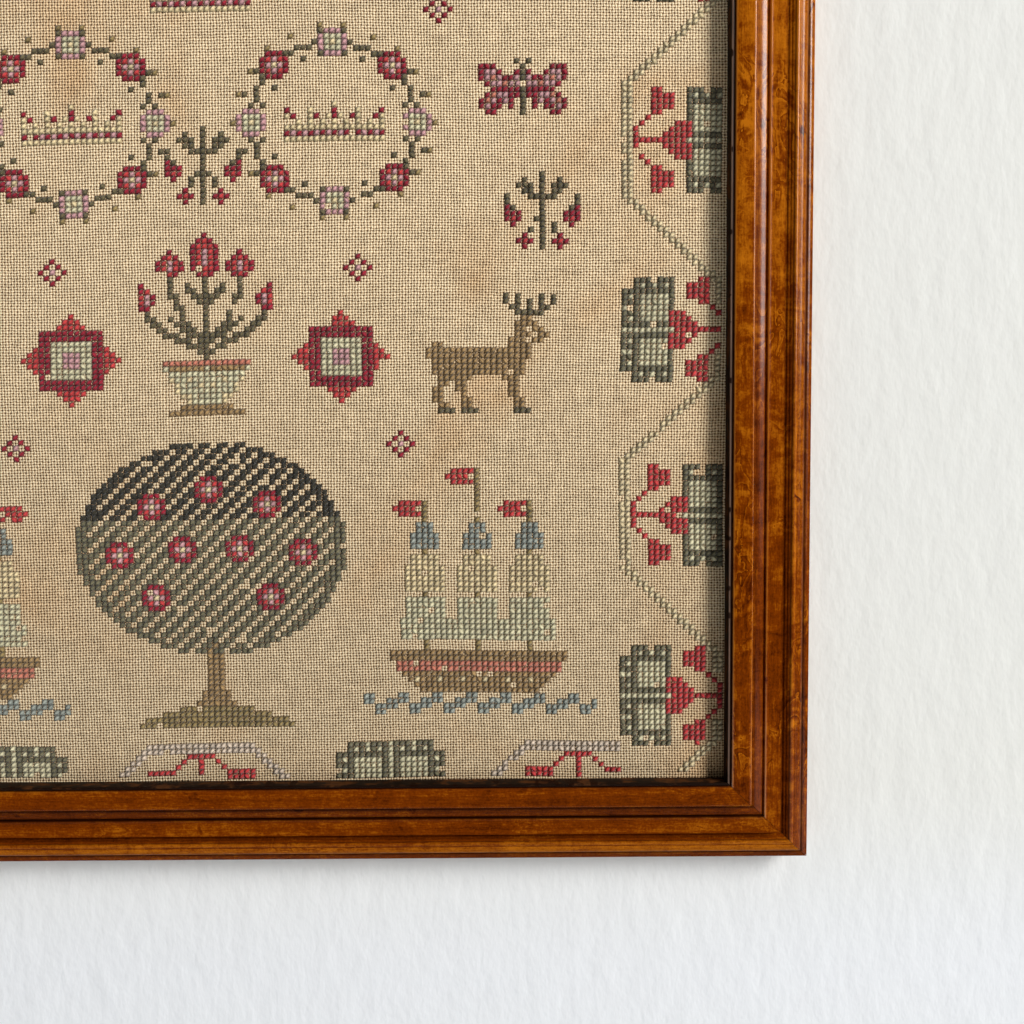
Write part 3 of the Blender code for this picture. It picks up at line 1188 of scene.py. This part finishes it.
def strand(wool, turn, segments, base):
    """Points, painted pit shades and triangles of one bowed strand from corner to corner, its ends tucked in.
    """
    length = math.hypot(CROSS_WIDTH, CROSS_HEIGHT) * MM * 0.98
    bm = bmesh.new()
    bmesh.ops.create_cone(bm, segments=3, cap_ends=True, radius1=1.0, radius2=1.0, depth=1.0)
    long_edges = [e for e in bm.edges if abs(e.verts[0].co.z - e.verts[1].co.z) > 0.5]
    bmesh.ops.subdivide_edges(bm, edges=long_edges, cuts=segments - 1)
    crest_painted_light_layer = bm.verts.layers.float.new("crest")
    for vert in bm.verts:
        along = vert.co.z
        bow = 1.0 - (2.0 * along) ** 2
        on_top = max(0.0, vert.co.y)
        width = wool.strand_width * (0.50 + 0.50 * bow) / math.sqrt(3.0)
        height = wool.strand_height * (0.50 + 0.50 * bow)
        side = vert.co.x * width
        up = vert.co.y * height * 0.66 + (base * bow - 0.16 * MM * (1.0 - bow))
        # Painted shade at the tucked ends and low sides, painted highlight along the top
        vert[crest_painted_light_layer] = bow * (0.55 + 0.45 * on_top)
        vert.co = (along * length, -up, side)
    bmesh.ops.rotate(bm, verts=bm.verts[:], cent=(0, 0, 0), matrix=Matrix.Rotation(turn, 3, "Y"))
    bmesh.ops.recalc_face_normals(bm, faces=bm.faces[:])
    bmesh.ops.triangulate(bm, faces=bm.faces[:])
    bm.verts.index_update()
    points = np.array([vert.co[:] for vert in bm.verts])
    painted_pit_shades = np.array([vert[crest_painted_light_layer] for vert in bm.verts])
    triangles = np.array([[vert.index for vert in face.verts] for face in bm.faces])
    bm.free()
    return points, painted_pit_shades, triangles


def cross_template(wool):
    """A cross of two strands, centred at the origin and facing -Y."""
    slope = math.atan2(CROSS_HEIGHT, CROSS_WIDTH)
    under = strand(wool, slope, 4, 0.10 * MM)
    over = strand(wool, -slope, 4, 0.34 * MM)
    points = np.concatenate((under[0], over[0]))
    # The under strand gets more painted shade
    painted_pit_shades = np.concatenate((under[1] * 0.9, over[1]))
    triangles = np.concatenate((under[2], over[2] + len(under[0])))
    return points, painted_pit_shades, triangles


def kept_places(cells, random, missing_share):
    """Places of the crosses that lie wholly inside the sight opening, less the lost ones."""
    columns = np.array([place[0] for place in cells], float)
    rows = np.array([place[1] for place in cells], float)
    across = (columns + COLUMN_SHIFT) * CROSS_WIDTH * MM
    up = SIGHT_BOTTOM + ((rows + 0.5) * CROSS_HEIGHT + ROW_START) * MM
    shift_across, shift_up = drift(across, up, np.sin)
    across = across + shift_across * MM
    up = up + shift_up * MM
    reach_across = (CROSS_WIDTH / 2 + STITCH_MARGIN) * MM
    reach_up = (CROSS_HEIGHT / 2 + STITCH_MARGIN) * MM
    inside = (across - reach_across > SIGHT_LEFT) & (across + reach_across < SIGHT_RIGHT)
    inside &= (up - reach_up > SIGHT_BOTTOM) & (up + reach_up < SIGHT_TOP)
    inside &= random.random(len(across)) > missing_share
    return across[inside], up[inside]


def stitched_mesh(name, template, across, up, random):
    """One mesh of crosses at the given places, each a little unlike the next."""
    points, painted_pit_shades, triangles = template
    count = len(across)
    turn = random.normal(0.0, 0.055, count)
    size = random.normal(1.0, 0.045, count)
    rise = random.normal(1.0, 0.10, count)
    flip = np.where(random.random(count) < 0.06, -1.0, 1.0)
    cosine = (np.cos(turn) * size)[:, None]
    sine = (np.sin(turn) * size)[:, None]
    x = points[None, :, 0] * flip[:, None]
    y = points[None, :, 1] * rise[:, None]
    z = points[None, :, 2]
    wander = random.normal(0.0, 0.05 * MM, (count, 2))
    front = -(CLOTH_BACK + bpy.context.scene.sampler_linen.thickness)
    lift = cloth_lift(across, up - SIGHT_MIDDLE_Z)
    placed = np.empty((count, len(points), 3))
    placed[:, :, 0] = x * cosine - z * sine + (across + wander[:, 0])[:, None]
    placed[:, :, 1] = y + (front - lift)[:, None]
    placed[:, :, 2] = x * sine + z * cosine + (up + wander[:, 1])[:, None]
    faces = np.broadcast_to(triangles, (count, *triangles.shape)).copy()
    faces[flip < 0] = faces[flip < 0][:, :, ::-1]
    faces += (np.arange(count) * len(points))[:, None, None]
    mesh = bpy.data.meshes.new(name)
    mesh.from_pydata(placed.reshape(-1, 3), [], faces.reshape(-1, 3))
    tone = np.repeat(np.clip(random.normal(1.0, 0.16, count), 0.5, 1.5), len(points))
    # Painted shade and highlight of each cross's strands
    crest = np.tile(painted_pit_shades, count)
    for name, values in (("tone", tone), ("crest", crest)):
        mesh.attributes.new(name, "FLOAT", "POINT").data.foreach_set("value", values.astype(np.float32))
    mesh.shade_smooth()
    return mesh


def add_stitches(prefix, cells, seed, missing_share):
    """One piece for each yarn of a group of cells."""
    wool = bpy.context.scene.sampler_wool
    template = cross_template(wool)
    random = np.random.default_rng(seed)
    for letter, yarn in YARN_NAMES.items():
        places = sorted(place for place, found in cells.items() if found == letter)
        if not places:
            continue
        across, up = kept_places(places, random, missing_share)
        name = f"{prefix}_{yarn}"
        mesh = stitched_mesh(name, template, across, up, random)
        add_piece(name, mesh, wool_material(name, tuple(getattr(wool, yarn))))


# Operators


class SAMPLER_OT_stage(bpy.types.Operator):
    """Camera, window light, soft sky, pale backdrop and floor"""

    bl_idname = "sampler.stage"
    bl_label = "Stage"

    def execute(self, context):
        stage = context.scene.sampler_stage
        self.add_camera(context, stage)
        self.add_window(context, stage)
        self.set_sky(context, stage)
        self.add_backdrop(context, stage)
        context.scene.view_settings.view_transform = "Standard"
        return {"FINISHED"}

    def add_camera(self, context, stage):
        """The photograph's own place in front of the lower right part."""
        data = bpy.data.cameras.new("camera")
        data.lens = stage.lens
        data.sensor_width = 36.0
        data.clip_start = 0.01
        camera = bpy.data.objects.new("camera", data)
        down = math.radians(90.0 - 2.577)
        roll = math.radians(-0.403)
        place = Matrix.Translation((0.0978, -0.2648, -0.3200))
        turn = Matrix.Rotation(down, 4, "X") @ Matrix.Rotation(roll, 4, "Z")
        camera.matrix_world = place @ turn
        context.scene.collection.objects.link(camera)
        context.scene.camera = camera

    def add_window(self, context, stage):
        """Three panes one above the other, well to the right, the sky's light strongest on top."""
        turn = math.radians(WINDOW_TURN)
        foot = Vector((0.12 + WINDOW_DISTANCE * math.sin(turn), -WINDOW_DISTANCE * math.cos(turn), -0.32))
        for name, low, high, share in WINDOW_PANES:
            data = bpy.data.lights.new(f"window_{name}", "AREA")
            data.shape = "RECTANGLE"
            data.size = WINDOW_WIDTH
            data.size_y = high - low
            data.energy = stage.window_power * WINDOW_WIDTH * (high - low) * share
            data.color = (1.0, 0.985, 0.96)
            pane = bpy.data.objects.new(data.name, data)
            pane.location = foot + Vector((0.0, 0.0, (low + high) / 2))
            pane.rotation_euler = (math.radians(90.0), 0.0, turn)
            context.scene.collection.objects.link(pane)

    def set_sky(self, context, stage):
        world = bpy.data.worlds.new("sky")
        world.use_nodes = True
        background = world.node_tree.nodes["Background"]
        background.inputs["Color"].default_value = (*stage.sky, 1.0)
        background.inputs["Strength"].default_value = stage.sky_strength
        context.scene.world = world

    def add_backdrop(self, context, stage):
        """A pale sheet behind the frame, open where the frame covers it, and a pale floor, with painted warm
        bounce light beside the frame and a cooler tone below it.
        """
        shader = Shader("backdrop")
        x, y, z = shader.place()
        grain = shader.noise(shader.vector(x * 90.0, y * 60.0, z * 45.0), 1.0, 4.0, 0.6)
        # Painted light: warm bounce light from the frame on the backdrop beside it, cooler below the frame
        low = shader.smooth(z, -0.42, -0.50)
        paint_and_warm_bounce = shader.mix(low, tuple(stage.backdrop), tuple(stage.backdrop_low))
        paint_and_warm_bounce = shader.shaded(paint_and_warm_bounce, grain * 0.04 + 0.98)
        shader.finish(Base_Color=paint_and_warm_bounce, Roughness=0.9, Normal=shader.bump(grain * 0.0006))
        outer = RAIL_WIDTH - 2.0 * MM
        columns = (-2.5, SIGHT_LEFT - outer, SIGHT_RIGHT + outer, 2.5)
        rows = (-1.3, SIGHT_BOTTOM - outer, SIGHT_TOP + outer, 1.6)
        bm = bmesh.new()
        upright = Matrix.Rotation(math.radians(90.0), 4, "X")
        bmesh.ops.create_grid(bm, x_segments=3, y_segments=3, size=1.5, matrix=upright)
        for vert in bm.verts:
            column = round(vert.co.x + 1.5)
            row = round(vert.co.z + 1.5)
            vert.co = (columns[column], 0.0006, rows[row])
        middle = [f for f in bm.faces if f.calc_center_median().length < 0.4 and f.calc_area() < 0.3]
        bmesh.ops.delete(bm, geom=middle, context="FACES")
        sheet = bpy.data.meshes.new("backdrop")
        bm.to_mesh(sheet)
        bm.free()
        bm = bmesh.new()
        low = Matrix.Translation((0.0, -0.5, rows[0]))
        bmesh.ops.create_grid(bm, x_segments=1, y_segments=1, size=2.5, matrix=low)
        floor = bpy.data.meshes.new("floor")
        bm.to_mesh(floor)
        bm.free()
        for mesh in (sheet, floor):
            mesh.materials.append(shader.material)
            piece = bpy.data.objects.new(mesh.name, mesh)
            context.scene.collection.objects.link(piece)


class SAMPLER_OT_rails(bpy.types.Operator):
    """Four polished maple rails with the whole moulding"""

    bl_idname = "sampler.rails"
    bl_label = "Maple Rails"

    def execute(self, context):
        wood = context.scene.sampler_wood
        level = maple_material("maple_level", 0, wood, 0.45, 0.25)
        upright = maple_material("maple_upright", 2, wood, 1.0, 1.0)
        materials = {"top": level, "bottom": level, "left": upright, "right": upright}
        add_four_sides("maple_rail", "rail", maple_section(), RAIL_SLICES, materials, mark_polish)
        return {"FINISHED"}


class SAMPLER_OT_slips(bpy.types.Operator):
    """Four thin black slips on the sight edge"""

    bl_idname = "sampler.slips"
    bl_label = "Ebonised Slips"

    def execute(self, context):
        black = ebonised_material(context.scene.sampler_wood)
        materials = {side: black for side, *_ in SIDES}
        add_four_sides("black_slip", "slip", slip_section(), SLIP_SLICES, materials, mark_wear)
        return {"FINISHED"}


class SAMPLER_OT_board(bpy.types.Operator):
    """Finish of the backing board, which keeps its solid"""

    bl_idname = "sampler.board"
    bl_label = "Backing Board"

    def execute(self, context):
        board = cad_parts["backboard"]
        board.data.materials.clear()
        board.data.materials.append(board_material(context.scene.sampler_wood))
        return {"FINISHED"}


class SAMPLER_OT_linen(bpy.types.Operator):
    """The stretched sheet of linen"""

    bl_idname = "sampler.linen"
    bl_label = "Linen"

    def execute(self, context):
        linen = context.scene.sampler_linen
        front = CLOTH_BACK + linen.thickness
        bm = bmesh.new()
        upright = Matrix.Rotation(math.radians(90.0), 4, "X")
        spread = Matrix.Diagonal((CLOTH_WIDTH, CLOTH_HEIGHT, 1.0, 1.0))
        bmesh.ops.create_grid(
            bm,
            x_segments=linen.cells_across,
            y_segments=linen.cells_up,
            size=0.5,
            matrix=upright @ spread,
        )
        for vert in bm.verts:
            lift = float(cloth_lift(vert.co.x, vert.co.z))
            vert.co = (vert.co.x, -front - lift, vert.co.z + SIGHT_MIDDLE_Z)
        mesh = bpy.data.meshes.new("linen_sheet")
        bm.to_mesh(mesh)
        bm.free()
        mesh.shade_smooth()
        cloth = add_piece("linen_sheet", mesh, linen_material(linen))
        thicken = cloth.modifiers.new("thickness", "SOLIDIFY")
        thicken.thickness = linen.thickness
        thicken.offset = -1.0
        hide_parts("sampler_cloth")
        return {"FINISHED"}


class SAMPLER_OT_border(bpy.types.Operator):
    """Cross stitches of the border"""

    bl_idname = "sampler.border"
    bl_label = "Border Stitches"

    def execute(self, context):
        add_stitches("border", border_cells(), 11, 0.015)
        return {"FINISHED"}


class SAMPLER_OT_field(bpy.types.Operator):
    """Cross stitches of the field"""

    bl_idname = "sampler.field"
    bl_label = "Field Stitches"

    def execute(self, context):
        add_stitches("field", field_cells(), 29, 0.015)
        return {"FINISHED"}


OPERATORS = (
    SAMPLER_OT_stage,
    SAMPLER_OT_rails,
    SAMPLER_OT_slips,
    SAMPLER_OT_board,
    SAMPLER_OT_linen,
    SAMPLER_OT_border,
    SAMPLER_OT_field,
)


class SAMPLER_PT_panel(bpy.types.Panel):
    """Lists the pieces of the sampler"""

    bl_idname = "SAMPLER_PT_panel"
    bl_label = "Framed Sampler"
    bl_space_type = "VIEW_3D"
    bl_region_type = "UI"
    bl_category = "Sampler"

    def draw(self, context):
        for operator in OPERATORS:
            self.layout.operator(operator.bl_idname)
        for group in SETTINGS:
            settings = getattr(context.scene, group)
            box = self.layout.box()
            for key in settings.__annotations__:
                box.prop(settings, key)


SETTINGS = {
    "sampler_wood": SamplerWoodSettings,
    "sampler_linen": SamplerLinenSettings,
    "sampler_wool": SamplerWoolSettings,
    "sampler_stage": SamplerStageSettings,
}


def register():
    for cls in (*SETTINGS.values(), *OPERATORS, SAMPLER_PT_panel):
        bpy.utils.register_class(cls)
    for name, cls in SETTINGS.items():
        setattr(bpy.types.Scene, name, PointerProperty(type=cls))


def unregister():
    for name in SETTINGS:
        delattr(bpy.types.Scene, name)
    for cls in (SAMPLER_PT_panel, *reversed(OPERATORS), *reversed(SETTINGS.values())):
        bpy.utils.unregister_class(cls)


def main():
    register()
    for operator in OPERATORS:
        group, name = operator.bl_idname.split(".")
        getattr(getattr(bpy.ops, group), name)()
    bpy.context.view_layer.update()


if __name__ == "__main__":
    main()
